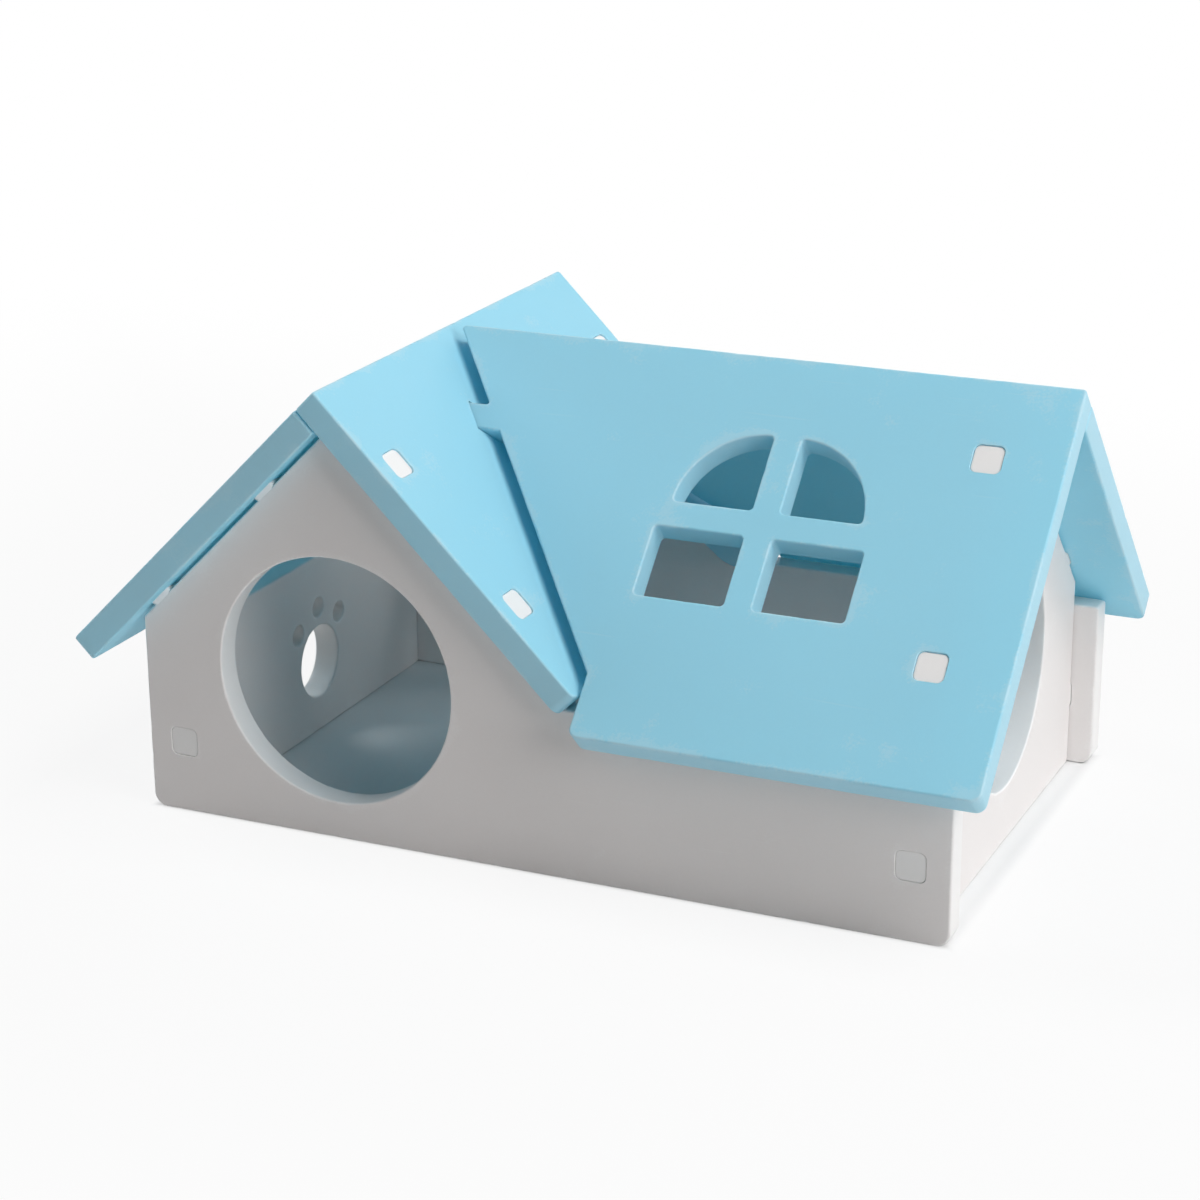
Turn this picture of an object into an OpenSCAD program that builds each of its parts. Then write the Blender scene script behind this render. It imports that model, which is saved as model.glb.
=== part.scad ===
// Knock-down house for a dwarf hamster: eight foam boards locked by tabs in mortises.
// A gable roof and a main roof cross at a valley, and both stand at 45 degrees, so that
// boards cut square meet face to face at each ridge and need no mitre.
// House frame: x runs along the front wall from its left end, y runs back from the front
// wall's outer face, and z is up from the ground.

/* [Boards] */
// Thickness of every board
board_t = 5; // [4:0.5:6]
// Width of every tab
tab_w = 5; // [4:0.5:6]
// Radius of the long edges of the tabs, which their mortises press round
tab_r = 1; // [0.5:0.1:1.5]
// Radius of the eave corners of the roof boards
eave_r = 1.75; // [0.5:0.25:3]

/* [Walls] */
// Length of the front and back walls
house_l = 150; // [140:1:190]
// Depth over the outer faces of the front and back walls
house_d = 90; // [80:1:110]
// Height of the low part of the front and back walls
wall_h = 30.4; // [28:0.2:40]
// Radius of the bottom corners of the front and back walls
foot_r = 2.5; // [1:0.5:4]
// Distance of each end wall's outer face from the ends of the front and back walls
end_inset = 4.5; // [3:0.5:8]
// Height of the middle of the tabs that hold the end walls
side_tab_z = 13.3; // [10:0.1:20]
// Height of the vent between the left wall's outer top arris and the roof over it
vent_h = 6.3; // [1:0.1:10]

/* [Doors] */
// Diameter of the round doors in the front and back walls
door_d = 45; // [36:1:48]
// Height of the lowest point of the front and back doors
door_sill = 6.8; // [5:0.2:10]
// Diameter of the round door in the right wall
end_door_d = 41; // [32:1:44]
// Height of the lowest point of the right wall's door
end_door_sill = 10.5; // [6:0.5:14]

/* [Paw print] */
// Diameter of the pad of the paw print in the left wall
pad_d = 14; // [10:0.5:16]
// Height of the middle of the pad
pad_z = 13.8; // [11:0.2:18]
// Diameter of each toe
toe_d = 4; // [3:0.5:5]
// Distance of the toes from the middle of the pad
toe_reach = 10.7; // [10.5:0.1:13]
// Angle between neighbouring toes
toe_spread = 46; // [35:1:55]

/* [Gable roof] */
// Distance of the gable's ridge from the left end of the walls
ridge_x = 38; // [34:0.5:44]
// How far the gable boards stand out past the front and back walls
gable_overhang = 3.6; // [2:0.2:7]
// Distance of the upper gable mortises from the top edge of their board
gable_tab_top = 17.7; // [14:0.1:22]
// Distance of the lower gable mortises from the eave
gable_tab_low = 18.5; // [13:0.1:24]
// Diameter of the half-round passage in the right gable board's eave
passage_d = 62; // [40:1:64]
// Radius of the corners at the mouth of the passage
mouth_r = 6; // [2:0.5:8]

/* [Main roof] */
// How much higher the main ridge is than the gable's ridge
ridge_step = 0.8; // [0:0.1:2]
// How far the main eaves stand out past the front and back walls
main_eave = 8; // [5:0.5:12]
// How far the main roof stands out past the right end of the walls
main_overhang = 6.4; // [4:0.2:10]
// Distance of the upper main roof tabs from the ridge
main_tab_top = 15; // [12:0.5:20]
// Distance of the lower main roof tabs from the eave
main_tab_low = 21.6; // [18:0.2:28]
// Distance from the ridge to the middle of the tabs that lock into the gable
lock_tab = 18; // [16:0.5:24]

/* [Window] */
// Width of each lower pane
pane_w = 16.2; // [12:0.2:18]
// Height of each lower pane, along the slope
pane_h = 13.2; // [10:0.2:15]
// Radius of the quarter-round upper panes
pane_r = 14.4; // [10:0.2:16]
// Radius of the corners of the panes
pane_corner_r = 0.8; // [0.4:0.1:1.5]
// Width of the bars of the window's cross
bar_w = 5; // [3:0.5:6]
// Distance from the ridge to the middle of the window's cross
cross_s = 32.2; // [30:0.2:35]
// How far the window stands to the right of the middle of its field
window_shift = 0.4; // [-3:0.2:3]

/* [Fits] */
// Clearance round a tab in its mortise
fit_gap = 0.15; // [0.1:0.05:0.3]
// Gap between a wall's top edge and the roof board on it
seat_gap = 0.25; // [0.1:0.05:0.4]
// Gap where the end of a board butts against another board
butt_gap = 0.15; // [0.1:0.05:0.3]
// Gap between the lower arris of the main roof and the gable board in the valley
valley_gap = 0.3; // [0.2:0.05:0.5]
// Gap between the gable's eave and the straight edge of the main roof beside it
side_gap = 0.4; // [0.3:0.1:1.5]
// Gap between the gable's eave and the top of the low wall under it
eave_gap = 0.6; // [0.4:0.1:1]
// How far the tabs end below the outer face that they pass through
tab_recess = 0.4; // [0.2:0.1:0.8]

/* [Hidden] */
$fn = 96;

wall_colour = "white";
roof_colour = "skyblue";

// Both roofs have this pitch, so a length along the slope is the level length over slope_cos
pitch = 45;
slope_cos = cos(pitch);
// Cutters reach this far past the board that they cut, and tabs reach this far into their wall
over = 1;

// Heights of the outer ridge lines, and of the wall tops under them
ridge_y = house_d / 2;
main_ridge = wall_h + seat_gap / slope_cos + house_d / 2 + board_t / slope_cos;
gable_ridge = main_ridge - ridge_step;
roof_drop = (board_t + seat_gap) / slope_cos;
gable_apex = gable_ridge - roof_drop;
end_apex = main_ridge - roof_drop;
left_wall_h = gable_apex - (ridge_x - end_inset) - vent_h;
valley_x = ridge_x + gable_apex - wall_h;

// The end walls stand between the long walls
end_y0 = board_t + butt_gap;
end_y1 = house_d - board_t - butt_gap;
end_shoulder = end_apex - (ridge_y - end_y0);
left_wall_x = end_inset;
right_wall_x = house_l - end_inset - board_t;

// Slope lengths: the right gable board ends just above the low wall
gable_slope = (gable_ridge - wall_h - eave_gap) / slope_cos - board_t;
main_slope = (house_d / 2 + main_eave) / slope_cos;
lap_start = board_t + butt_gap;
// Mortises of a gable board from its own top edge, which is the ridge on the right board only
gable_tabs = [gable_tab_top, gable_slope - gable_tab_low];
left_gable_tabs = [for (s = gable_tabs) lap_start + s];
// Mortises of both main boards from the ridge
main_tabs = [main_tab_top, main_slope - main_tab_low];

// The main roof's edge in the valley runs this far to the right of the line under which the
// outer faces of the two roofs meet, so that its square lower arris clears the gable board
valley_offset = board_t * slope_cos + valley_gap / slope_cos - ridge_step;
main_left = ridge_x + gable_slope * slope_cos + side_gap;
main_right = house_l + main_overhang;
valley_end = (main_left - ridge_x - valley_offset) / slope_cos;
// The lock tabs end where the middle of their thickness meets the gable board's inner face
lock_end = ridge_x - ridge_step - board_t / slope_cos + (lock_tab + board_t / 2) * slope_cos;

// The window's field lies between the valley edge, at the foot of the panes, and the right wall
window_foot = cross_s + bar_w / 2 + pane_h;
field_left = valley_edge(window_foot);
window_x = (field_left + right_wall_x) / 2 + window_shift;

// The origin lies on the ground under the middle of the roofs
gable_left = ridge_x - (lap_start + gable_slope) * slope_cos;
origin = [(gable_left + main_right) / 2, ridge_y, 0];

// x of the main roof's valley edge at the distance s down the slope
function valley_edge(s) = ridge_x + valley_offset + s * slope_cos;

// What is left outside a quarter circle in the corner at the origin, to be cut from a board
module corner_cut(r) {
    difference() {
        translate([-over, -over]) square(r + over);
        translate([r, r]) circle(r);
    }
}

// A rectangle with round corners, centred on the origin
module round_rect(size, r) {
    square([size.x - 2 * r, size.y], center = true);
    square([size.x, size.y - 2 * r], center = true);
    for (x = [-1, 1], y = [-1, 1])
        translate([x * (size.x / 2 - r), y * (size.y / 2 - r)]) circle(r);
}

// Mortise for a tab whose width lies along x and whose thickness lies along y
module mortise() {
    round_rect([tab_w + 2 * fit_gap, board_t + 2 * fit_gap], tab_r + fit_gap);
}

// A tab that stands up along z from its wall's edge, with its root in the wall
module tab(height) {
    translate([0, 0, -over]) linear_extrude(over + height) round_rect([tab_w, board_t], tab_r);
}

// Tabs on a slope that falls along x from the outer ridge point at the origin: each goes through
// the roof board at its distance from the ridge
module slope_tabs(distances) {
    rotate([0, pitch, 0])
        for (s = distances)
            translate([s, 0, -board_t - seat_gap]) tab(board_t + seat_gap - tab_recess);
}

// Outline of the front and back walls in x and z: a gable beside a low stretch
module long_wall_outline() {
    end_wall_middles = [left_wall_x + board_t / 2, right_wall_x + board_t / 2];
    difference() {
        polygon([[0, 0], [house_l, 0], [house_l, wall_h], [valley_x, wall_h],
                 [ridge_x, gable_apex], [0, gable_apex - ridge_x]]);
        corner_cut(foot_r);
        translate([house_l, 0]) mirror([1, 0]) corner_cut(foot_r);
        translate([ridge_x, door_sill + door_d / 2]) circle(d = door_d);
        for (x = end_wall_middles)
            translate([x, side_tab_z]) rotate(90) mortise();
    }
}

// A long wall from its front face at y, with the tabs that hold the gable boards
module long_wall(y) {
    translate([0, y + board_t, 0]) rotate([90, 0, 0]) linear_extrude(board_t) long_wall_outline();
    translate([ridge_x, y + board_t / 2, gable_ridge]) {
        slope_tabs(gable_tabs);
        mirror([1, 0, 0]) slope_tabs(left_gable_tabs);
    }
}

// Stands an outline drawn in y and z up as an end wall from x, with a tab at each end of it
module end_wall(x) {
    translate([x, 0, 0]) rotate([90, 0, 90]) linear_extrude(board_t) children();
    for (back = [0, 1])
        translate([x + board_t / 2, ridge_y, side_tab_z])
            mirror([0, back, 0])
                translate([0, end_y0 - ridge_y, 0])
                    rotate([90, 90, 0]) tab(end_y0 - tab_recess);
}

// Left wall: a plain board with a vent over it and a paw print cut through it
module left_wall_outline() {
    difference() {
        translate([end_y0, 0]) square([end_y1 - end_y0, left_wall_h]);
        translate([ridge_y, pad_z]) {
            circle(d = pad_d);
            for (turn = [-1, 0, 1])
                rotate(turn * toe_spread) translate([0, toe_reach]) circle(d = toe_d);
        }
    }
}

// Right wall: gabled under the main roof, with a round door
module right_wall_outline() {
    difference() {
        polygon([[end_y0, 0], [end_y1, 0], [end_y1, end_shoulder],
                 [ridge_y, end_apex], [end_y0, end_shoulder]]);
        translate([ridge_y, end_door_sill + end_door_d / 2]) circle(d = end_door_d);
    }
}

// A gable board from the slope distance s0, with x down the slope and y to the back
module gable_board_outline(s0) {
    s1 = s0 + gable_slope;
    y0 = -gable_overhang;
    y1 = house_d + gable_overhang;
    difference() {
        translate([s0, y0]) square([gable_slope, y1 - y0]);
        translate([s1, y0]) mirror([1, 0]) corner_cut(eave_r);
        translate([s1, y1]) rotate(180) corner_cut(eave_r);
        for (s = gable_tabs, y = [board_t / 2, house_d - board_t / 2])
            translate([s0 + s, y]) mortise();
    }
}

// Half-round passage in an eave along the y axis, with the corners of its mouth rounded outwards
module passage_cut() {
    arch_r = passage_d / 2;
    round_y = sqrt(pow(arch_r + mouth_r, 2) - pow(mouth_r, 2));
    round_depth = mouth_r * arch_r / (arch_r + mouth_r);
    circle(arch_r);
    difference() {
        translate([-round_depth, -round_y]) square([round_depth + over, 2 * round_y]);
        for (side = [-1, 1])
            translate([-mouth_r, side * round_y]) circle(mouth_r);
    }
}

// Lays an outline with x down the slope as the right-hand gable board
module on_gable() {
    translate([ridge_x, 0, gable_ridge]) rotate([0, pitch, 0])
        translate([0, 0, -board_t]) linear_extrude(board_t) children();
}

// Brings a solid drawn flat, with its outer face at z = 0, on to the front slope of the main roof
module on_main() {
    translate([0, ridge_y, main_ridge]) rotate([pitch, 0, 0]) children();
}

// The same on the back slope
module on_main_back() {
    translate([0, house_d, 0]) mirror([0, 1, 0]) on_main() children();
}

// A main roof board from the slope distance s0, with x along the ridge and y up the slope:
// square at the right, cut along the valley at the left and straight below the gable's eave.
// A lock tab stands out of the valley edge, level, towards the gable.
module main_board_outline(s0) {
    lock_s0 = lock_tab - tab_w / 2;
    lock_s1 = lock_tab + tab_w / 2;
    difference() {
        polygon([[valley_edge(s0), -s0], [main_right, -s0], [main_right, -main_slope],
                 [main_left, -main_slope], [main_left, -valley_end],
                 [valley_edge(lock_s1), -lock_s1], [lock_end, -lock_s1],
                 [lock_end, -lock_s0], [valley_edge(lock_s0), -lock_s0]]);
        translate([main_left, -main_slope]) corner_cut(eave_r);
        translate([main_right, -main_slope]) mirror([1, 0]) corner_cut(eave_r);
        for (s = main_tabs)
            translate([right_wall_x + board_t / 2, -s]) rotate(90) mortise();
    }
}

// A lock tab with its clearance, long enough to cut its slot right through the gable board
module lock_slot() {
    slot_reach = 4 * board_t;
    translate([lock_end - slot_reach, -lock_tab - tab_w / 2 - fit_gap, -board_t - fit_gap])
        cube([2 * slot_reach, tab_w + 2 * fit_gap, board_t + 2 * fit_gap]);
}

// What is left outside the rounded corner between a quarter-round pane's straight edge, on the
// x axis, and its arc about the origin
module arc_corner_cut() {
    middle_r = pane_r - pane_corner_r;
    middle = [sqrt(pow(middle_r, 2) - pow(pane_corner_r, 2)), pane_corner_r];
    reach = pane_r + over;
    difference() {
        polygon([middle, [middle.x, -over], [reach, -over], middle * reach / middle_r]);
        translate(middle) circle(pane_corner_r);
    }
}

// A quarter-round upper pane with its right angle at the origin
module upper_pane() {
    difference() {
        intersection() {
            circle(pane_r);
            square(pane_r);
        }
        corner_cut(pane_corner_r);
        arc_corner_cut();
        mirror([1, -1]) arc_corner_cut();
    }
}

// Window of two lower panes and two quarter-round upper ones about the middle of its cross
module window_cut() {
    for (side = [0, 1])
        mirror([side, 0]) {
            translate([(bar_w + pane_w) / 2, -(bar_w + pane_h) / 2])
                round_rect([pane_w, pane_h], pane_corner_r);
            translate([bar_w, bar_w] / 2) upper_pane();
        }
}

// Thickens a main roof outline downwards from its outer face
module main_board() {
    translate([0, 0, -board_t]) linear_extrude(board_t) children();
}

// Moves the finished house frame to the origin under the middle of the roofs
module at_origin() {
    translate(-origin) children();
}

module front_wall() {
    color(wall_colour) at_origin() long_wall(0);
}

module back_wall() {
    color(wall_colour) at_origin() long_wall(house_d - board_t);
}

module left_wall() {
    color(wall_colour) at_origin() end_wall(left_wall_x) left_wall_outline();
}

// The right wall has tabs for both main boards as well
module right_wall() {
    color(wall_colour)
        at_origin() {
            end_wall(right_wall_x) right_wall_outline();
            for (turn = [-90, 90])
                translate([right_wall_x + board_t / 2, ridge_y, main_ridge])
                    rotate(turn) slope_tabs(main_tabs);
        }
}

// The left gable board butts against the underside of the right one
module gable_roof_left() {
    color(roof_colour)
        at_origin()
            translate([2 * ridge_x, 0, 0]) mirror([1, 0, 0]) on_gable() gable_board_outline(lap_start);
}

// The right gable board makes the ridge, and takes the main roof's lock tabs in two slots
module gable_roof_right() {
    color(roof_colour)
        at_origin()
            difference() {
                on_gable()
                    difference() {
                        gable_board_outline(0);
                        translate([gable_slope, ridge_y]) passage_cut();
                    }
                on_main() lock_slot();
                on_main_back() lock_slot();
            }
}

// The front main board makes the ridge and has the window
module main_roof_front() {
    color(roof_colour)
        at_origin()
            on_main() main_board()
                difference() {
                    main_board_outline(0);
                    translate([window_x, -cross_s]) window_cut();
                }
}

// The back main board butts against the underside of the front one
module main_roof_back() {
    color(roof_colour) at_origin() on_main_back() main_board() main_board_outline(lap_start);
}

front_wall();
back_wall();
left_wall();
right_wall();
gable_roof_left();
gable_roof_right();
main_roof_front();
main_roof_back();
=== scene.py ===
# A knock-down house for a dwarf hamster: eight foam boards locked by tabs in mortises.
# The sections follow the way it is put together, walls first and then the two crossing roofs.
import math

import bpy
import numpy as np
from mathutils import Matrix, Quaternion, Vector
from mathutils.geometry import delaunay_2d_cdt


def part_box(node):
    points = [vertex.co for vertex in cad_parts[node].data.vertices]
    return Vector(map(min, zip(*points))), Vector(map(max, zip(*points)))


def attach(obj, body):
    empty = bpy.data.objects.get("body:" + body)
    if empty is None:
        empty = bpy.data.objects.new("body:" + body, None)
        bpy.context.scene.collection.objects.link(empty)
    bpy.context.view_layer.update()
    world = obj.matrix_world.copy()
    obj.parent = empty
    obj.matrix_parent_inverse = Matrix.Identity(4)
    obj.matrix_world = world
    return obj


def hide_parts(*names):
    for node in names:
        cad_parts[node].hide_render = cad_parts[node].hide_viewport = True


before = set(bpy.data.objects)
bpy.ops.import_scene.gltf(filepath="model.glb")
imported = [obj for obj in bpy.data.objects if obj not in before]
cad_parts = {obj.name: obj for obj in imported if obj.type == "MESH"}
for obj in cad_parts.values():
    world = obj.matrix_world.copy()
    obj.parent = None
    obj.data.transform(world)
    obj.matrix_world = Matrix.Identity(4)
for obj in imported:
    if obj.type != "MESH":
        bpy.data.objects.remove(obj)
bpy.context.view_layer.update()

# Front wall
# A white gabled board, routed from foamed sheet, with a round door beside a low stretch.
# Four tabs on its slopes pass up through the gable boards, and a mortise near each end takes a
# tab of an end wall.
mm = 0.001
wall_low, wall_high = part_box("front_wall")
board_t = wall_high.y - wall_low.y
house_l = 150 * mm
wall_right = wall_high.x
wall_left = wall_right - house_l
wall_h = 30.4 * mm
# The low top stands up into the corner under the eave, so that no light shows over it
eave_rise = 0.5 * mm
ridge_inset = 38 * mm
ridge_x = wall_left + ridge_inset
gable_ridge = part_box("gable_roof_right")[1].z
pitch = math.radians(45)
slope_cos = math.cos(pitch)
seat_gap = 0.25 * mm
# The joint under the left gable board stands open by this much more
left_joint = 0.4 * mm
gable_apex = gable_ridge - (board_t + seat_gap) / slope_cos
eave_gap = 0.6 * mm
gable_slope = (gable_ridge - wall_h - eave_gap) / slope_cos - board_t
gable_tab_top = 17.7 * mm
gable_tab_low = 18.5 * mm
gable_tabs = np.array([gable_tab_top, gable_slope - gable_tab_low])
butt_gap = 0.15 * mm
lap = board_t + butt_gap
foot_r = 2.5 * mm
corner_r = 0.7 * mm
inner_corner_r = 0.3 * mm
door_d = 45 * mm
door_sill = 6.8 * mm
end_inset = 4.5 * mm
end_wall_middles = np.array([wall_left + end_inset + board_t / 2, wall_right - end_inset - board_t / 2])
side_tab_z = 13.3 * mm
tab_w = 5 * mm
tab_r = 1 * mm
tab_recess = 0.25 * mm
side_tab_recess = 0.12 * mm
tab_root = 1.2 * mm
tab_swell = 0.13 * mm
fit_gap = 0.15 * mm
outline_arris = 0.45 * mm
opening_arris = 0.4 * mm
mortise_arris = 0.14 * mm
upright = (0, 0)
CORNER_STEPS = 8
RING_STEPS = 144


def unit(vectors):
    """Each row divided by its length."""
    return vectors / np.linalg.norm(vectors, axis=-1, keepdims=True)


def rounded(corners):
    """A polygon with every corner turned into an arc, as one row of points per corner.
    Each corner is (a, b, radius). The arc's middle lies on the bisector, radius / sin(half the
    corner's angle) away, and the arc turns through 180 degrees less that angle."""
    corners = np.asarray(corners, float)
    point = corners[:, :2]
    radius = corners[:, 2:]
    back = unit(np.roll(point, 1, axis=0) - point)
    onward = unit(np.roll(point, -1, axis=0) - point)
    half = np.arccos((back * onward).sum(1, keepdims=True)) / 2
    middle = point + unit(back + onward) * radius / np.sin(half)
    first = point + back * radius / np.tan(half) - middle
    side = np.sign(onward[:, :1] * back[:, 1:] - onward[:, 1:] * back[:, :1])
    turn = side * (math.pi - 2 * half) * np.linspace(0, 1, CORNER_STEPS + 1)
    angle = np.arctan2(first[:, 1:], first[:, :1]) + turn
    return middle[:, None] + radius[:, None] * np.stack([np.cos(angle), np.sin(angle)], axis=-1)


def arc(middle, radius, start, end, steps):
    """Points on a circle about its middle, evenly from one angle to another."""
    angle = np.linspace(start, end, steps + 1)
    return np.asarray(middle) + radius * np.column_stack([np.cos(angle), np.sin(angle)])


def ring(middle, diameter):
    """A full circle of points, without its first point again at the end."""
    return arc(middle, diameter / 2, 0, 2 * math.pi, RING_STEPS)[:-1]


def rounded_box(middle, size, radius):
    """A rectangle with round corners about its middle."""
    sign = np.array([[-1, -1], [1, -1], [1, 1], [-1, 1]])
    corners = np.asarray(middle) + sign * np.asarray(size) / 2
    return rounded(np.column_stack([corners, np.full(4, radius)])).reshape(-1, 2)


def mortise(middle, across, along):
    """The mortise of a tab, across and along its plan, with its clearance all round."""
    return rounded_box(middle, (across + 2 * fit_gap, along + 2 * fit_gap), tab_r + fit_gap)


def edge_tabs(start, end, distances, height):
    """Tabs on the straight edge from start to end, at distances from its start. Each is the middle
    of its root, the way out of the board, to the right of the edge, and its height."""
    start = np.asarray(start, float)
    along = unit(np.asarray(end, float) - start)
    outward = np.array([along[1], -along[0]])
    return [(start + distance * along, outward, height) for distance in distances]


def spaced(loop, step):
    """The loop without points that repeat their neighbour, and with extra points on long straight
    runs, so that neighbours lie within a step."""
    same_place = 0.001 * mm
    run = np.roll(loop, -1, axis=0) - loop
    apart = np.linalg.norm(run, axis=1) > same_place
    loop, run = loop[apart], run[apart]
    parts = np.maximum(1, np.ceil(np.linalg.norm(run, axis=1) / step)).astype(int)
    first = np.repeat(np.arange(len(loop)), parts)
    share = (np.arange(parts.sum()) - np.repeat(np.cumsum(parts) - parts, parts)) / parts[first]
    return loop[first] + run[first] * share[:, None]


def wound(loop, anticlockwise):
    """The loop in the wanted direction, told by the sign of its area."""
    after = np.roll(loop, -1, axis=0)
    area = (loop[:, 0] * after[:, 1] - loop[:, 1] * after[:, 0]).sum()
    return loop if (area > 0) == anticlockwise else loop[::-1]


def mitres(loop):
    """At each point of a loop, the step to the left that moves both of its runs one unit inwards:
    the sum of the two runs' left normals over one plus their dot product."""
    run = unit(np.roll(loop, -1, axis=0) - loop)
    left = np.column_stack([-run[:, 1], run[:, 0]])
    before = np.roll(left, 1, axis=0)
    return (left + before) / (1 + (left * before).sum(1, keepdims=True))


def nearness(distance):
    """How near an edge is: 1 at the edge, falling off as exp(-distance / fade)."""
    fade = 1.2 * mm
    return np.exp(-distance / fade)


def rim(loop, arris_r, lean):
    """The cut edge of a board: a profile carried along one loop, with the board on the left.
    The profile is a quarter circle at each face and a straight cut between them. Each radius
    wanders along the loop, as a hand-eased arris does, by three sine waves with whole numbers of
    turns, and swells to a nick where their product peaks. A lean moves the cut sideways with its
    depth. Returns points (along, profile, 3), maps (along, profile, 2) of length and depth, and
    shares (along, profile, 3) of bare cut, of arris and of nearness to an edge."""
    along_step = 1.5 * mm
    wave_lengths = np.array([31, 13, 5.7]) * mm
    wave_starts = [[0.4, 1.9, 3.1], [2.2, 0.7, 5.0]]
    wave_heights = [0.05, 0.04, 0.03]
    usual_share = 0.88
    nick_level = 0.6
    nick_growth = 1.2
    ease_points = 7
    cut_points = 6
    loop = spaced(loop, along_step)
    length = np.linalg.norm(np.roll(loop, -1, axis=0) - loop, axis=1)
    travel = np.concatenate([[0], np.cumsum(length)])
    turns = np.round(travel[-1] / wave_lengths)
    phase = 2 * math.pi * travel[:-1, None] / travel[-1] * turns
    waves = np.sin(phase[:, None] + wave_starts)
    nicks = np.maximum(0, np.abs(waves.prod(axis=-1)) - nick_level)
    radius = arris_r * (usual_share + waves @ wave_heights + nick_growth * nicks)
    outer, inner = radius[:, :1], radius[:, 1:]
    ease = np.linspace(0, math.pi / 2, ease_points)
    cut = np.linspace(0, 1, cut_points)[1:-1]
    plain = np.zeros((len(loop), len(cut)))
    inset = np.concatenate([outer * (1 - np.sin(ease)), plain, inner * (1 - np.cos(ease))], axis=1)
    straight = outer + cut * (board_t - outer - inner)
    inner_depth = board_t - inner * (1 - np.sin(ease))
    depth = np.concatenate([outer * (1 - np.cos(ease)), straight, inner_depth], axis=1)
    inward = inset[..., None] * mitres(loop)[:, None]
    plan = loop[:, None] + inward + depth[..., None] * np.asarray(lean)
    points = np.concatenate([plan, board_t - depth[..., None]], axis=-1)
    maps = np.stack(np.broadcast_arrays(travel[:, None], depth[[*range(len(loop)), 0]]), axis=-1)
    bare = np.concatenate([np.sin(ease) ** 2, plain[0] + 1, np.cos(ease) ** 2])
    arris = np.concatenate([np.sin(2 * ease), plain[0], np.sin(2 * ease)])
    near = nearness(np.minimum(depth, board_t - depth))
    return points, maps, np.stack(np.broadcast_arrays(bare, arris, near), axis=-1)


def tab_stub(root, outward, height):
    """A tab: a rounded square carried out of a board's edge from a sunk root to its tip. It swells
    to fill its mortise, and a quarter circle eases its end. Returns points, maps and shares as a
    rim does, around the tab and along it."""
    tip_r = 0.2 * mm
    ease_points = 5
    ease = np.linspace(0, math.pi / 2, ease_points)
    rise = np.concatenate([[-tab_root, 0, 2 * seat_gap], height - tip_r * (1 - np.sin(ease))])
    inset = np.concatenate([[tab_swell, 0, -tab_swell], tip_r * (1 - np.cos(ease)) - tab_swell])
    middle = (0, board_t / 2)
    sections = [rounded_box(middle, (tab_w - 2 * k, board_t - 2 * k), tab_r - k) for k in inset]
    section = np.stack(sections, axis=1)
    along = np.array([outward[1], -outward[0]])
    plan = root + section[..., :1] * along + rise[:, None] * outward
    points = np.concatenate([plan, section[..., 1:]], axis=-1)
    girth = np.arange(len(section) + 1) * (4 * tab_w / len(section))
    maps = np.stack(np.broadcast_arrays(girth[:, None], rise), axis=-1)
    return points, maps, np.broadcast_to([1.0, 0.0, 0.0], points.shape)


def fill(loops):
    """Fills a face between its outer loop and its holes. Rows of inner points follow the loops, a
    grid of points lies further in, and a Delaunay triangulation joins them with the loops. Returns
    the inner points, their nearness to an edge, and triangles over the loops' points and them."""
    border = np.concatenate(loops)
    ends = np.concatenate([np.roll(loop, -1, axis=0) for loop in loops])
    rise = np.where(ends[:, 1] == border[:, 1], 1, ends[:, 1] - border[:, 1])

    def inside(points):
        """Whether a line to the right of each point crosses the loops an odd number of times."""
        level = points[:, None, 1]
        crossed = (border[:, 1] > level) != (ends[:, 1] > level)
        place = border[:, 0] + (level - border[:, 1]) / rise * (ends[:, 0] - border[:, 0])
        return (crossed & (place > points[:, None, 0])).sum(1) % 2 == 1

    def kept(points, clearance):
        """The points that lie inside and clear of every loop, with their distances from it."""
        points = points[inside(points)]
        distance = np.linalg.norm(points[:, None] - border, axis=-1).min(axis=1)
        clear = distance > clearance
        return points[clear], distance[clear]

    row_gaps = (1.0 * mm, 2.4 * mm)
    row_clearance = 0.85
    grid_step = 5 * mm
    grid_clearance = 0.84
    touching = 1e-6
    hull_triangles = 0
    rows = []
    for gap in row_gaps:
        beside = np.concatenate([loop + gap * mitres(loop) for loop in loops])
        rows.append(kept(beside, row_clearance * gap))
    low, high = border.min(axis=0), border.max(axis=0)
    lines = [np.arange(low[k] + grid_step / 2, high[k], grid_step) for k in range(2)]
    grid = np.stack(np.meshgrid(*lines), axis=-1).reshape(-1, 2)
    rows.append(kept(grid, grid_clearance * grid_step))
    points, distance = (np.concatenate([row[k] for row in rows]) for k in range(2))
    every = np.concatenate([border, points])
    start = np.arange(len(border))
    counts = [len(loop) for loop in loops]
    first = np.repeat(np.cumsum([0] + counts[:-1]), counts)
    size = np.repeat(counts, counts)
    edges = np.column_stack([start, first + (start - first + 1) % size])
    flat = [Vector(point) for point in every / mm]
    joined = delaunay_2d_cdt(flat, edges.tolist(), [], hull_triangles, touching)
    _, _, joined_faces, sources, _, _ = joined
    origin = np.array([ids[0] for ids in sources])
    triangles = origin[np.array(joined_faces)]
    a, b, c = (every[triangles[:, k]] for k in range(3))
    area = (b[:, 0] - a[:, 0]) * (c[:, 1] - a[:, 1]) - (b[:, 1] - a[:, 1]) * (c[:, 0] - a[:, 0])
    triangles[area < 0] = triangles[area < 0][:, ::-1]
    return points, nearness(distance), triangles[inside((a + b + c) / 3)]


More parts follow.
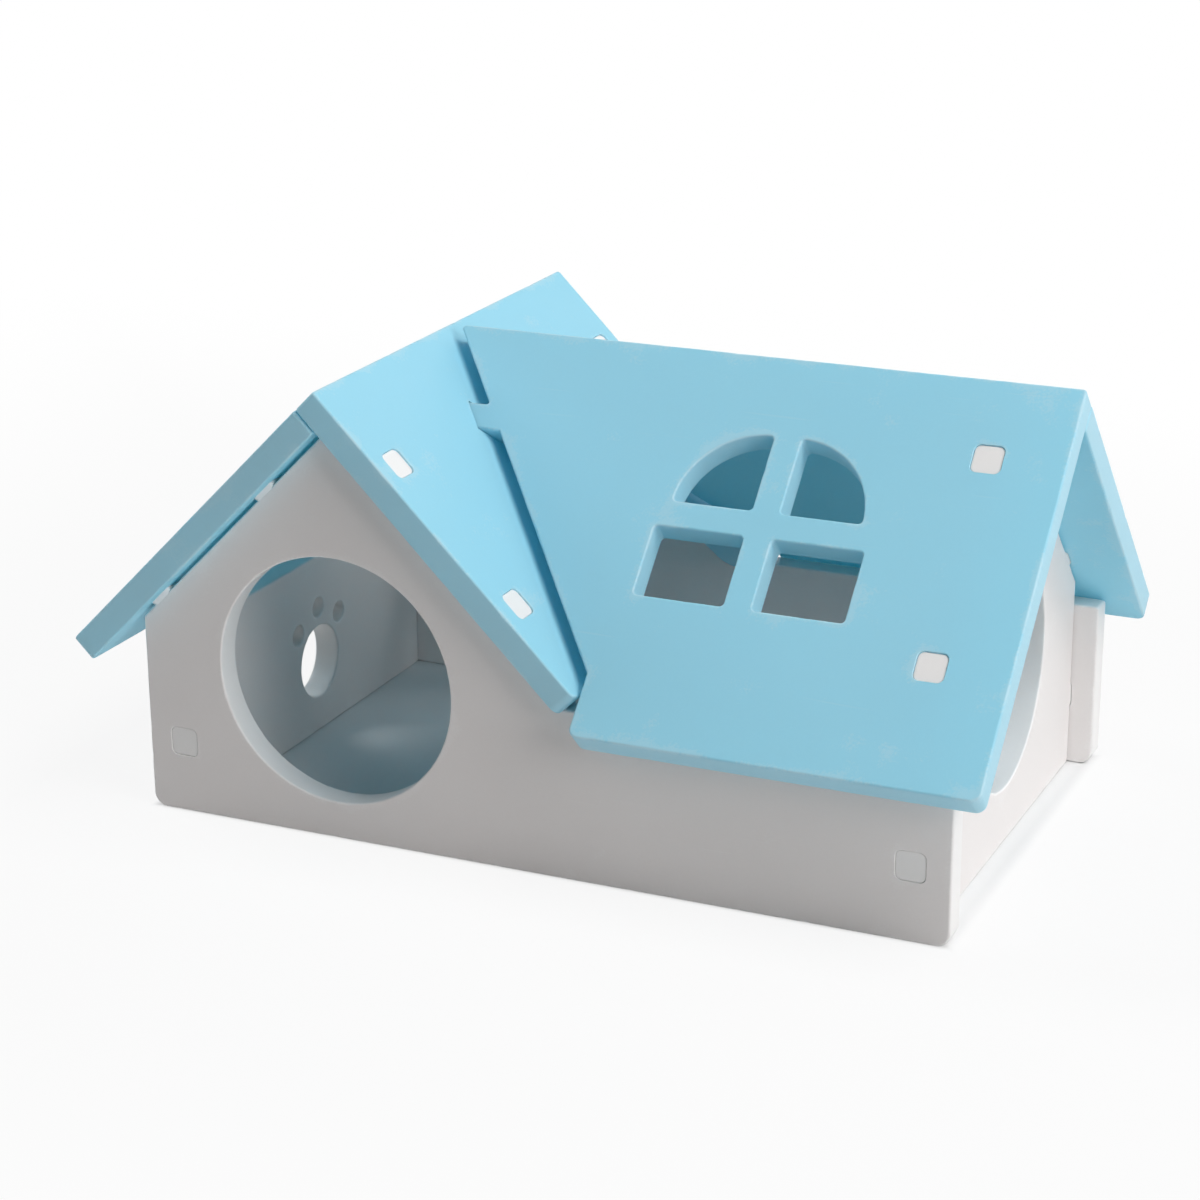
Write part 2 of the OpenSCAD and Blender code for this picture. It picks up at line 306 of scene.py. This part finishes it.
def board(name, cuts, tabs, corner, across, up):
    """A flat board in its own plan, with its inner face at the corner point. Each cut is a loop, its
    arris and its lean, and the first is the outline. Every loop gets a rim, the two faces fill what
    the rims leave, and the tabs stand on the outline."""
    rims = [rim(wound(loop, k == 0), arris_r, lean) for k, (loop, arris_r, lean) in enumerate(cuts)]
    strips = rims + [tab_stub(*tab) for tab in tabs]
    points, maps, shares, faces, indices = [], [], [], [], []
    count = 0
    for grid, grid_map, share in strips:
        index = count + np.arange(grid.shape[0] * grid.shape[1]).reshape(grid.shape[:2])
        after = np.roll(index, -1, axis=0)
        quads = np.stack([index[:, :-1], index[:, 1:], after[:, 1:], after[:, :-1]], axis=-1)
        corner_maps = [grid_map[:-1, :-1], grid_map[:-1, 1:], grid_map[1:, 1:], grid_map[1:, :-1]]
        faces += quads.reshape(-1, 4).tolist()
        maps.append(np.stack(corner_maps, axis=2).reshape(-1, 2))
        points.append(grid.reshape(-1, 3))
        shares.append(share.reshape(-1, 3))
        indices.append(index)
        count += index.size
    smooth_faces = len(faces)
    for index in indices[len(rims):]:
        faces += [index[:, 0].tolist(), index[::-1, -1].tolist()]
    for column, height in ((0, board_t), (-1, 0)):
        loops = [index[:, column] for index in indices[: len(rims)]]
        flat = [grid[:, column, :2] for grid, _, _ in rims]
        inner, near, triangles = fill(flat)
        order = np.concatenate(loops + [count + np.arange(len(inner))])
        facing = 1 if height else -1
        faces += order[triangles][:, ::facing].tolist()
        points.append(np.column_stack([inner, np.full(len(inner), height)]))
        shares.append(np.column_stack([np.zeros((len(inner), 2)), near]))
        count += len(inner)
    axes = np.array([across, up, np.cross(across, up)])
    mesh = bpy.data.meshes.new(name)
    mesh.from_pydata(np.asarray(corner) + np.concatenate(points) @ axes, [], faces)
    mesh.polygons.foreach_set("use_smooth", np.arange(len(faces)) < smooth_faces)
    for attribute, share in zip(("cut", "arris", "edge"), np.concatenate(shares).T):
        values = mesh.attributes.new(attribute, "FLOAT", "POINT").data
        values.foreach_set("value", np.ascontiguousarray(share))
    rim_map = np.zeros((len(mesh.loops), 2))
    rim_map[: 4 * smooth_faces] = np.concatenate(maps)
    mesh.uv_layers.new(name="rim").uv.foreach_set("vector", rim_map.ravel())
    mesh.update()
    piece = bpy.data.objects.new(name, mesh)
    bpy.context.scene.collection.objects.link(piece)
    return piece


class Shade:
    """A shader socket that takes part in sums: an expression on values adds its Math nodes."""

    def __init__(self, tree, socket=None):
        self.tree = tree
        self.socket = socket

    def node(self, kind, settings=None, sockets=None, output=0):
        """Any other node: its settings first, then the values or links of its sockets."""
        made = self.tree.nodes.new(kind)
        for name, value in (settings or {}).items():
            setattr(made, name, value)
        for name, value in (sockets or {}).items():
            self.feed(made.inputs[name], value)
        return Shade(self.tree, made.outputs[output])

    def feed(self, target, value):
        """Links a shade to a socket, or sets a plain value on it."""
        if isinstance(value, Shade):
            self.tree.links.new(value.socket, target)
        else:
            target.default_value = value

    def math(self, operation, first, second):
        """A Math node on two values or shades."""
        return self.node("ShaderNodeMath", {"operation": operation}, {0: first, 1: second})

    def __add__(self, other):
        return self.math("ADD", self, other)

    def __radd__(self, other):
        return self.math("ADD", other, self)

    def __sub__(self, other):
        return self.math("SUBTRACT", self, other)

    def __rsub__(self, other):
        return self.math("SUBTRACT", other, self)

    def __mul__(self, other):
        return self.math("MULTIPLY", self, other)

    def __rmul__(self, other):
        return self.math("MULTIPLY", other, self)


def foam_board(name, skin_deep, skin_pale, cut_colour, wear_and_highlight):
    """Foamed sheet. The skin has faint clouds, a fine orange peel and a few hair scratches, the cut
    edges show small open cells and the steps of the router, and the arrises and the skin beside
    them are paler in places: partly rubbed wear, partly a painted highlight along the arrises."""
    material = bpy.data.materials.new(name)
    material.use_nodes = True
    tree = material.node_tree
    shader = tree.nodes["Principled BSDF"]
    start = Shade(tree)
    place = start.node("ShaderNodeTexCoord", output="Object")

    def noise(size, detail=2.0, vector=place):
        sockets = {"Vector": vector, "Scale": 1 / size, "Detail": detail, "Roughness": 0.55}
        return start.node("ShaderNodeTexNoise", {}, sockets)

    def attribute(title):
        return start.node("ShaderNodeAttribute", {"attribute_name": title}, output="Fac")

    def soft_step(value, low, high):
        sockets = {"Value": value, "From Min": low, "From Max": high}
        return start.node("ShaderNodeMapRange", {"interpolation_type": "SMOOTHSTEP"}, sockets)

    def blend(share, first, second):
        mix = {"data_type": "RGBA", "clamp_factor": True}
        return start.node("ShaderNodeMix", mix, {0: share, 6: first, 7: second}, output=2)

    router_pitch = 0.9 * mm
    cell_size = 0.6 * mm
    pit_share = 0.22
    relief = 0.02 * mm
    clouds = noise(34 * mm)
    smudges = noise(9 * mm)
    peel = noise(1.6 * mm, 1.0)
    grain = noise(0.5 * mm, 1.0)
    cut = attribute("cut")
    arris = attribute("arris")
    edge = attribute("edge")
    edge_place = start.node("ShaderNodeUVMap", {"uv_map": "rim"})
    along = start.node("ShaderNodeSeparateXYZ", {}, {"Vector": edge_place})
    router_steps = start.math("SINE", along * (2 * math.pi / router_pitch), 0.0)
    cells = start.node("ShaderNodeTexVoronoi", {}, {"Vector": place, "Scale": 1 / cell_size})
    pits = start.math("LESS_THAN", cells, pit_share)
    drawn_out = {"Vector": place, "Rotation": (0.5, 0.35, 0.8), "Scale": (0.03, 1, 1)}
    hairs = noise(0.8 * mm, 1.0, start.node("ShaderNodeMapping", {}, drawn_out))
    scratches = soft_step(hairs, 0.70, 0.76) * soft_step(clouds, 0.5, 0.62)

    skin = blend(0.5 + 0.9 * (clouds - 0.5) + 0.5 * (grain - 0.5), skin_deep, skin_pale)
    edged = blend(cut * (1.0 - 0.12 * pits), skin, cut_colour)
    # Paler patches on the arrises and the skin beside them: partly rubbed wear, partly a painted
    # highlight along the arrises
    wear_and_highlight_share = soft_step(smudges + 0.3 * grain + 0.25 * edge, 0.80, 0.96) * (0.4 + 0.6 * arris)
    start.feed(shader.inputs["Base Color"], blend(0.7 * wear_and_highlight_share + 0.15 * scratches, edged, wear_and_highlight))
    roughness = 0.5 + 0.14 * (smudges - 0.5) + 0.1 * (grain - 0.5) - 0.14 * cut + 0.1 * wear_and_highlight_share
    start.feed(shader.inputs["Roughness"], roughness)
    skin_height = 0.75 * peel + 0.25 * grain - 0.4 * scratches
    cut_height = 0.1 * router_steps + 0.3 * noise(0.35 * mm) - 0.35 * pits
    height = skin_height + cut * (cut_height - skin_height)
    bump = start.node("ShaderNodeBump", {}, {"Distance": relief, "Strength": 1.0, "Height": height})
    start.feed(shader.inputs["Normal"], bump)
    return material


# The pale rubbed colour also serves as a painted highlight along the arrises
white_board = foam_board(
    "white_foam_board",
    skin_deep=(0.82, 0.78, 0.768, 1),
    skin_pale=(0.85, 0.818, 0.805, 1),
    cut_colour=(0.875, 0.86, 0.85, 1),
    wear_and_highlight=(0.9, 0.885, 0.875, 1),
)


def long_wall(name, node):
    """A wall with the gable, in x and z: along the ground, up the right end, along the low top, up
    the right slope, over the apex and down the left slope."""
    apex = np.array([ridge_x, gable_apex]) + left_joint * slope_cos * np.array([1, -1])
    low_top = wall_h + eave_rise
    valley = np.array([ridge_x + gable_apex - low_top, low_top])
    left_top = np.array([wall_left, apex[1] - (apex[0] - wall_left)])
    outline = rounded([
        (wall_left, 0, foot_r),
        (wall_right, 0, foot_r),
        (wall_right, low_top, corner_r),
        (*valley, inner_corner_r),
        (*apex, corner_r),
        (*left_top, corner_r),
    ]).reshape(-1, 2)
    tab_height = board_t + seat_gap - tab_recess
    from_apex = gable_tabs - (board_t + seat_gap)
    right_run = np.linalg.norm(apex - valley) + left_joint
    tabs = edge_tabs(valley, apex, right_run - from_apex, tab_height)
    tabs += edge_tabs(apex, left_top, from_apex + lap, tab_height + left_joint)
    cuts = [
        (outline, outline_arris, upright),
        (ring((ridge_x, door_sill + door_d / 2), door_d), opening_arris, upright),
    ]
    for x in end_wall_middles:
        cuts.append((mortise((x, side_tab_z), board_t, tab_w), mortise_arris, upright))
    inner_face = (0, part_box(node)[1].y, 0)
    return board(name, cuts, tabs, inner_face, (1, 0, 0), (0, 0, 1))


front_wall = long_wall("front_wall_board", "front_wall")
front_wall.data.materials.append(white_board)
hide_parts("front_wall")
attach(front_wall, "root")

# Back wall
# A second copy of the front wall, with the same door, from the same white foamed sheet.
# It is held by the same tabs and mortises.
back_wall = long_wall("back_wall_board", "back_wall")
back_wall.data.materials.append(white_board)
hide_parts("back_wall")
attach(back_wall, "root")

# Left wall
# A low white board between the two long walls, with a paw print routed through it: a round pad
# and three toes. A tab at each end goes through the long wall beside it.
left_wall_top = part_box("left_wall")[1].z
house_front = wall_low.y
house_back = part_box("back_wall")[1].y
ridge_y = (house_front + house_back) / 2
end_y0 = house_front + board_t + butt_gap
end_y1 = house_back - board_t - butt_gap
side_tab_height = board_t + butt_gap - side_tab_recess
pad_d = 14 * mm
pad_z = 13.8 * mm
toe_d = 4 * mm
toe_reach = 10.7 * mm
toe_spread = math.radians(46)


def end_wall(name, node, top_corners, openings, top_tabs):
    """An end wall in y and z: along the ground, up the back edge, over the top corners given from
    back to front, and down the front edge. A tab on each upright edge goes through a long wall."""
    outline = rounded([(end_y0, 0, corner_r), (end_y1, 0, corner_r), *top_corners]).reshape(-1, 2)
    back_top = top_corners[0][:2]
    front_top = top_corners[-1][:2]
    tabs = edge_tabs((end_y1, 0), back_top, [side_tab_z], side_tab_height)
    tabs += edge_tabs(front_top, (end_y0, 0), [front_top[1] - side_tab_z], side_tab_height)
    cuts = [(outline, outline_arris, upright)]
    cuts += [(opening, opening_arris, upright) for opening in openings]
    inner_face = (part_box(node)[0].x, 0, 0)
    return board(name, cuts, tabs + top_tabs, inner_face, (0, 1, 0), (0, 0, 1))


toe_turn = toe_spread * np.array([-1, 0, 1])
toes = np.column_stack([ridge_y + toe_reach * np.sin(toe_turn), pad_z + toe_reach * np.cos(toe_turn)])
paw = [ring((ridge_y, pad_z), pad_d)] + [ring(toe, toe_d) for toe in toes]
left_top = [(end_y1, left_wall_top, corner_r), (end_y0, left_wall_top, corner_r)]
left_wall = end_wall("left_wall_board", "left_wall", left_top, paw, [])
left_wall.data.materials.append(white_board)
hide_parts("left_wall")
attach(left_wall, "root")

# Right wall
# A white gabled board between the long walls, under the main roof, with a round door of its own.
# Its four upper tabs pass through the main roof boards.
main_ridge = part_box("main_roof_front")[1].z
end_apex = main_ridge - (board_t + seat_gap) / slope_cos
end_shoulder = end_apex - (ridge_y - end_y0)
main_eave = 8 * mm
main_slope = (ridge_y - house_front + main_eave) / slope_cos
main_tab_top = 15 * mm
main_tab_low = 21.6 * mm
main_tabs = np.array([main_tab_top, main_slope - main_tab_low])
end_door_d = 41 * mm
end_door_sill = 10.5 * mm
right_apex = np.array([ridge_y, end_apex])
back_shoulder = np.array([end_y1, end_shoulder])
front_shoulder = np.array([end_y0, end_shoulder])
slope_run = np.linalg.norm(right_apex - back_shoulder)
from_apex = main_tabs - (board_t + seat_gap)
roof_tab_height = board_t + seat_gap - tab_recess
right_top = [(*back_shoulder, corner_r), (*right_apex, corner_r), (*front_shoulder, corner_r)]
roof_tabs = edge_tabs(back_shoulder, right_apex, slope_run - from_apex, roof_tab_height)
roof_tabs += edge_tabs(right_apex, front_shoulder, from_apex, roof_tab_height)
end_door = ring((ridge_y, end_door_sill + end_door_d / 2), end_door_d)
right_wall = end_wall("right_wall_board", "right_wall", right_top, [end_door], roof_tabs)
right_wall.data.materials.append(white_board)
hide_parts("right_wall")
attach(right_wall, "root")

# Left gable board
# A light-blue roof board, coloured through, with four mortises for the tabs of the long walls.
# Its square top edge butts against the underside of the right gable board.
gable_overhang = 3.6 * mm
eave_r = 1.75 * mm
gable_front = house_front - gable_overhang
gable_back = house_back + gable_overhang
long_wall_middles = (house_front + board_t / 2, house_back - board_t / 2)

# The pale rubbed colour also serves as a painted highlight along the arrises
blue_board = foam_board(
    "blue_foam_board",
    skin_deep=(0.38, 0.775, 0.945, 1),
    skin_pale=(0.41, 0.81, 0.97, 1),
    cut_colour=(0.48, 0.78, 0.9, 1),
    wear_and_highlight=(0.68, 0.88, 0.95, 1),
)
# The sheet lets a little dyed light through, which tints the rooms under it
passed_share = 0.2
passed_colour = (0.08, 0.76, 0.85, 1)
blue_tree = blue_board.node_tree
blue_start = Shade(blue_tree)
faced = Shade(blue_tree, blue_tree.nodes["Principled BSDF"].outputs["BSDF"])
passed = blue_start.node("ShaderNodeBsdfTranslucent", {}, {"Color": passed_colour})
sheet = blue_start.node("ShaderNodeMixShader", {}, {0: passed_share, 1: faced, 2: passed})
blue_start.feed(blue_tree.nodes["Material Output"].inputs["Surface"], sheet)


def gable_mortises(top_edge):
    """Mortises of a gable board, in the distance down the slope and y."""
    return [mortise((top_edge + s, y), tab_w, board_t) for s in gable_tabs for y in long_wall_middles]


def gable_corners(top_edge):
    """The four rounded corners of a gable board, from its top edge at the front."""
    eave = top_edge + gable_slope
    return rounded([
        (top_edge, gable_front, corner_r),
        (eave, gable_front, eave_r),
        (eave, gable_back, eave_r),
        (top_edge, gable_back, corner_r),
    ])


left_outward = np.array([-slope_cos, 0, slope_cos])
left_down = (-slope_cos, 0, -slope_cos)
gable_top = np.array([ridge_x, 0, gable_ridge])
flip = (1, -1)
left_outline = gable_corners(lap).reshape(-1, 2) * flip
left_cuts = [(left_outline, outline_arris, upright)]
left_cuts += [(hole * flip, mortise_arris, upright) for hole in gable_mortises(lap)]
left_corner = gable_top - board_t * left_outward
gable_left = board("gable_roof_left_board", left_cuts, [], left_corner, left_down, (0, -1, 0))
gable_left.data.materials.append(blue_board)
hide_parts("gable_roof_left")
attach(gable_left, "root")

# Right gable board
# The light-blue board that makes the gable's ridge. A half-round passage in its eave joins the two
# rooms, and two slots take the lock tabs of the main roof boards, level, at a slant to this board.
passage_d = 62 * mm
mouth_r = 6 * mm
mouth_steps = 16
arch_steps = 72
lock_tab = 18 * mm
ridge_step = main_ridge - gable_ridge
arch_r = passage_d / 2
mouth_y = math.sqrt((arch_r + mouth_r) ** 2 - mouth_r ** 2)
mouth_turn = math.atan2(mouth_y, mouth_r)
passage = np.concatenate([
    arc((gable_slope - mouth_r, ridge_y - mouth_y), mouth_r, 0, mouth_turn, mouth_steps),
    arc((gable_slope, ridge_y), arch_r, mouth_turn - math.pi, -mouth_turn - math.pi, arch_steps),
    arc((gable_slope - mouth_r, ridge_y + mouth_y), mouth_r, -mouth_turn, 0, mouth_steps),
])
corners = gable_corners(0)
gable_outline = np.concatenate([corners[:2].reshape(-1, 2), passage, corners[2:].reshape(-1, 2)])
half_slot = tab_w / 2 + fit_gap
slot_down = lock_tab + half_slot * np.array([-1, 1, 1, -1])
slot_deep = np.array([-fit_gap, -fit_gap, board_t + fit_gap, board_t + fit_gap])
slot_s = slot_down + slot_deep - ridge_step / slope_cos
slot_y = (slot_down - slot_deep) * slope_cos
right_cuts = [(gable_outline, outline_arris, upright)]
right_cuts += [(hole, mortise_arris, upright) for hole in gable_mortises(0)]
for side in (-1, 1):
    slot = np.column_stack([slot_s, ridge_y + side * slot_y, np.full(4, inner_corner_r)])
    right_cuts.append((rounded(slot).reshape(-1, 2), mortise_arris, (-1, 0)))
right_outward = np.array([slope_cos, 0, slope_cos])
right_down = (slope_cos, 0, -slope_cos)
right_corner = gable_top - board_t * right_outward
gable_right = board("gable_roof_right_board", right_cuts, [], right_corner, right_down, (0, 1, 0))
gable_right.data.materials.append(blue_board)
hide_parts("gable_roof_right")
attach(gable_right, "root")

# Back main board
# A light-blue board behind the main ridge, cut along the valley where the two roofs cross.
# A lock tab reaches level into the gable board, and two mortises take the right wall's tabs.
main_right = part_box("main_roof_front")[1].x
side_gap = 0.4 * mm
valley_gap = 0.3 * mm
valley_offset = board_t * slope_cos + valley_gap / slope_cos - ridge_step
main_left = ridge_x + gable_slope * slope_cos + side_gap
valley_end = (main_left - ridge_x - valley_offset) / slope_cos
lock_end = ridge_x - ridge_step - board_t / slope_cos + (lock_tab + board_t / 2) * slope_cos
lock_r = 0.45 * mm


def valley_edge(s):
    """x of the cut along the valley at the distance s down the slope."""
    return ridge_x + valley_offset + s * slope_cos


def main_outline(top_edge):
    """A main board from its top edge, in x and the distance up the slope from the ridge."""
    lock_high = lock_tab - tab_w / 2
    lock_low = lock_tab + tab_w / 2
    return rounded([
        (valley_edge(top_edge), -top_edge, corner_r),
        (valley_edge(lock_high), -lock_high, lock_r),
        (lock_end, -lock_high, corner_r),
        (lock_end, -lock_low, corner_r),
        (valley_edge(lock_low), -lock_low, lock_r),
        (main_left, -valley_end, corner_r),
        (main_left, -main_slope, eave_r),
        (main_right, -main_slope, eave_r),
        (main_right, -top_edge, corner_r),
    ]).reshape(-1, 2)


main_mortises = [mortise((end_wall_middles[1], -s), board_t, tab_w) for s in main_tabs]
main_top = np.array([0, ridge_y, main_ridge])
back_outward = np.array([0, slope_cos, slope_cos])
back_up = (0, -slope_cos, slope_cos)
mirror = (-1, 1)
back_cuts = [(main_outline(lap) * mirror, outline_arris, upright)]
back_cuts += [(hole * mirror, mortise_arris, upright) for hole in main_mortises]
back_corner = main_top - board_t * back_outward
main_back = board("main_roof_back_board", back_cuts, [], back_corner, (-1, 0, 0), back_up)
main_back.data.materials.append(blue_board)
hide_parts("main_roof_back")
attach(main_back, "root")

# Front main board
# The light-blue board that makes the main ridge, over the back board's top edge. An arched window
# of two square and two quarter-round panes leaves a cross of bars.
pane_w = 16.2 * mm
pane_h = 13.2 * mm
pane_r = 14.4 * mm
pane_corner_r = 0.8 * mm
pane_steps = 36
bar_w = 5 * mm
cross_s = 32.2 * mm
window_shift = 0.4 * mm
window_foot = cross_s + bar_w / 2 + pane_h
right_wall_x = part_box("right_wall")[0].x
cross = np.array([(valley_edge(window_foot) + right_wall_x) / 2 + window_shift, -cross_s])
end_middle = math.sqrt((pane_r - pane_corner_r) ** 2 - pane_corner_r ** 2)
end_turn = math.atan2(pane_corner_r, end_middle)
quarter_turn = math.pi / 2
upper_pane = np.concatenate([
    arc((pane_corner_r, pane_corner_r), pane_corner_r, math.pi, 3 * quarter_turn, CORNER_STEPS),
    arc((end_middle, pane_corner_r), pane_corner_r, -quarter_turn, end_turn, CORNER_STEPS),
    arc((0, 0), pane_r, end_turn, quarter_turn - end_turn, pane_steps),
    arc((pane_corner_r, end_middle), pane_corner_r, quarter_turn - end_turn, math.pi, CORNER_STEPS),
])
lower_pane = rounded_box((pane_w / 2, -bar_w - pane_h / 2), (pane_w, pane_h), pane_corner_r)
front_cuts = [(main_outline(0), outline_arris, upright)]
front_cuts += [(hole, mortise_arris, upright) for hole in main_mortises]
for side in (-1, 1):
    for pane in (lower_pane, upper_pane):
        front_cuts.append((cross + (pane + bar_w / 2) * (side, 1), opening_arris, upright))
front_outward = np.array([0, -slope_cos, slope_cos])
front_up = (0, slope_cos, slope_cos)
front_corner = main_top - board_t * front_outward
main_front = board("main_roof_front_board", front_cuts, [], front_corner, (1, 0, 0), front_up)
main_front.data.materials.append(blue_board)
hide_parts("main_roof_front")
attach(main_front, "root")

# Floor
# A plain pale floor. Round the house it shows to the camera as almost white, and keeps a part of
# the house's shadow. Inside the walls it is only what the light makes of it.
floor_size = 6.0
floor_drop = 0.05 * mm
floor_grey = (0.8, 0.8, 0.8, 1)
near_white = 0.88
far_white = 0.12
floor_mesh = bpy.data.meshes.new("floor")
floor_half = floor_size / 2
floor_points = np.array([(-1, -1, 0), (1, -1, 0), (1, 1, 0), (-1, 1, 0)]) * floor_half
floor_points[:, 2] = -floor_drop
floor_mesh.from_pydata(floor_points, [], [(0, 1, 2, 3)])
floor = bpy.data.objects.new("floor", floor_mesh)
bpy.context.scene.collection.objects.link(floor)

floor_paint = bpy.data.materials.new("pale_floor")
floor_paint.use_nodes = True
floor_tree = floor_paint.node_tree
floor_tree.nodes.clear()
floor_start = Shade(floor_tree)
floor_place = floor_start.node("ShaderNodeTexCoord", output="Object")
floor_x = floor_start.node("ShaderNodeSeparateXYZ", {}, {"Vector": floor_place}, output="X")
floor_y = floor_start.node("ShaderNodeSeparateXYZ", {}, {"Vector": floor_place}, output="Y")
past_x = floor_start.math("ABSOLUTE", floor_x - (wall_left + wall_right) / 2, 0.0) - house_l / 2
past_y = floor_start.math("ABSOLUTE", floor_y - ridge_y, 0.0) - (house_back - house_front) / 2
past_walls = floor_start.math("MAXIMUM", past_x, past_y)


def whitened(start, end, share):
    """A share of white that grows smoothly from nothing between two distances past the walls."""
    sockets = {"Value": past_walls, "From Min": start, "From Max": end, "To Min": 0.0, "To Max": share}
    return floor_start.node("ShaderNodeMapRange", {"interpolation_type": "SMOOTHSTEP"}, sockets)


def seen_directly(start):
    """1 for a ray from the camera, off a gloss or through glass, and 0 for any other."""
    camera_ray = start.node("ShaderNodeLightPath", output="Is Camera Ray")
    glossy_ray = start.node("ShaderNodeLightPath", output="Is Glossy Ray")
    clear_ray = start.node("ShaderNodeLightPath", output="Is Transmission Ray")
    return start.math("MAXIMUM", start.math("MAXIMUM", camera_ray, glossy_ray), clear_ray)


near_house = whitened(-2 * mm, 1 * mm, near_white)
far_off = whitened(60 * mm, 260 * mm, far_white)
floor_diffuse = floor_start.node("ShaderNodeBsdfDiffuse", {}, {"Color": floor_grey})
floor_white = floor_start.node("ShaderNodeEmission", {}, {"Color": (1, 1, 1, 1), "Strength": 1.0})
white_share = seen_directly(floor_start) * (near_house + far_off)
floor_parts = {0: white_share, 1: floor_diffuse, 2: floor_white}
floor_mix = floor_start.node("ShaderNodeMixShader", {}, floor_parts)
floor_output = floor_tree.nodes.new("ShaderNodeOutputMaterial")
floor_start.feed(floor_output.inputs["Surface"], floor_mix)
floor_mesh.materials.append(floor_paint)

# Studio light
# A window on the right with a soft box above it, a lamp on the left, a weak lamp behind and a lit
# backdrop leave the front in shade, as in the photograph. The camera sees white all round.
world = bpy.data.worlds.new("studio")
world.use_nodes = True
bpy.context.scene.world = world
world_tree = world.node_tree
world_tree.nodes.clear()
world_start = Shade(world_tree)
seen = seen_directly(world_start)
sky = world_start.node("ShaderNodeBackground", {}, {"Color": (1, 1, 1, 1), "Strength": seen})
world_output = world_tree.nodes.new("ShaderNodeOutputWorld")
world_start.feed(world_output.inputs["Surface"], sky)

lamp_aim = Vector((0, 0, 40 * mm))
lamp_distance = 1.0
# Each lamp's direction from the house, its width and height, and its power
lamps = {
    "window": ((0.85, -0.375, 0.375), (0.5, 0.5), 4.1),
    "soft_box": ((0.53, 0.0, 0.85), (0.5, 0.5), 5.3),
    "left_lamp": ((-0.77, 0.0, 0.64), (0.5, 0.5), 4.3),
    "backdrop": ((0.1, 0.8, 0.6), (1.2, 0.5), 1.2),
    "rear_lamp": ((0.49, 0.85, 0.21), (0.5, 0.5), 1.0),
}
for lamp_name, (lamp_way, (lamp_w, lamp_h), lamp_power) in lamps.items():
    lamp_data = bpy.data.lights.new(lamp_name, "AREA")
    lamp_data.shape = "RECTANGLE"
    lamp_data.size = lamp_w
    lamp_data.size_y = lamp_h
    lamp_data.energy = lamp_power
    lamp = bpy.data.objects.new(lamp_name, lamp_data)
    away = Vector(lamp_way).normalized()
    lamp.location = lamp_aim + lamp_distance * away
    lamp.rotation_euler = (-away).to_track_quat("-Z", "Y").to_euler()
    lamp.visible_camera = False
    bpy.context.scene.collection.objects.link(lamp)

# Camera
# The photograph's view, found from the house's own corners: the focal length in pixels of a square
# frame, the place of the lens, and the angles of its look.
photo_px = 1200
focal_px = 2984.1
sensor = 36.0
camera_data = bpy.data.cameras.new("photo_view")
camera_data.sensor_width = sensor
camera_data.lens = sensor * focal_px / photo_px
camera_data.clip_start = 0.01
camera_data.clip_end = 50
camera = bpy.data.objects.new("photo_view", camera_data)
camera.location = (206.80 * mm, -465.30 * mm, 212.02 * mm)
azimuth = math.radians(24.313)
elevation = math.radians(19.217)
roll = math.radians(-0.386)
look = Vector((
    -math.sin(azimuth) * math.cos(elevation),
    math.cos(azimuth) * math.cos(elevation),
    -math.sin(elevation),
))
camera.rotation_mode = "QUATERNION"
camera.rotation_quaternion = look.to_track_quat("-Z", "Y") @ Quaternion((0, 0, 1), roll)
bpy.context.scene.collection.objects.link(camera)
bpy.context.scene.camera = camera
bpy.context.scene.view_settings.view_transform = "Standard"
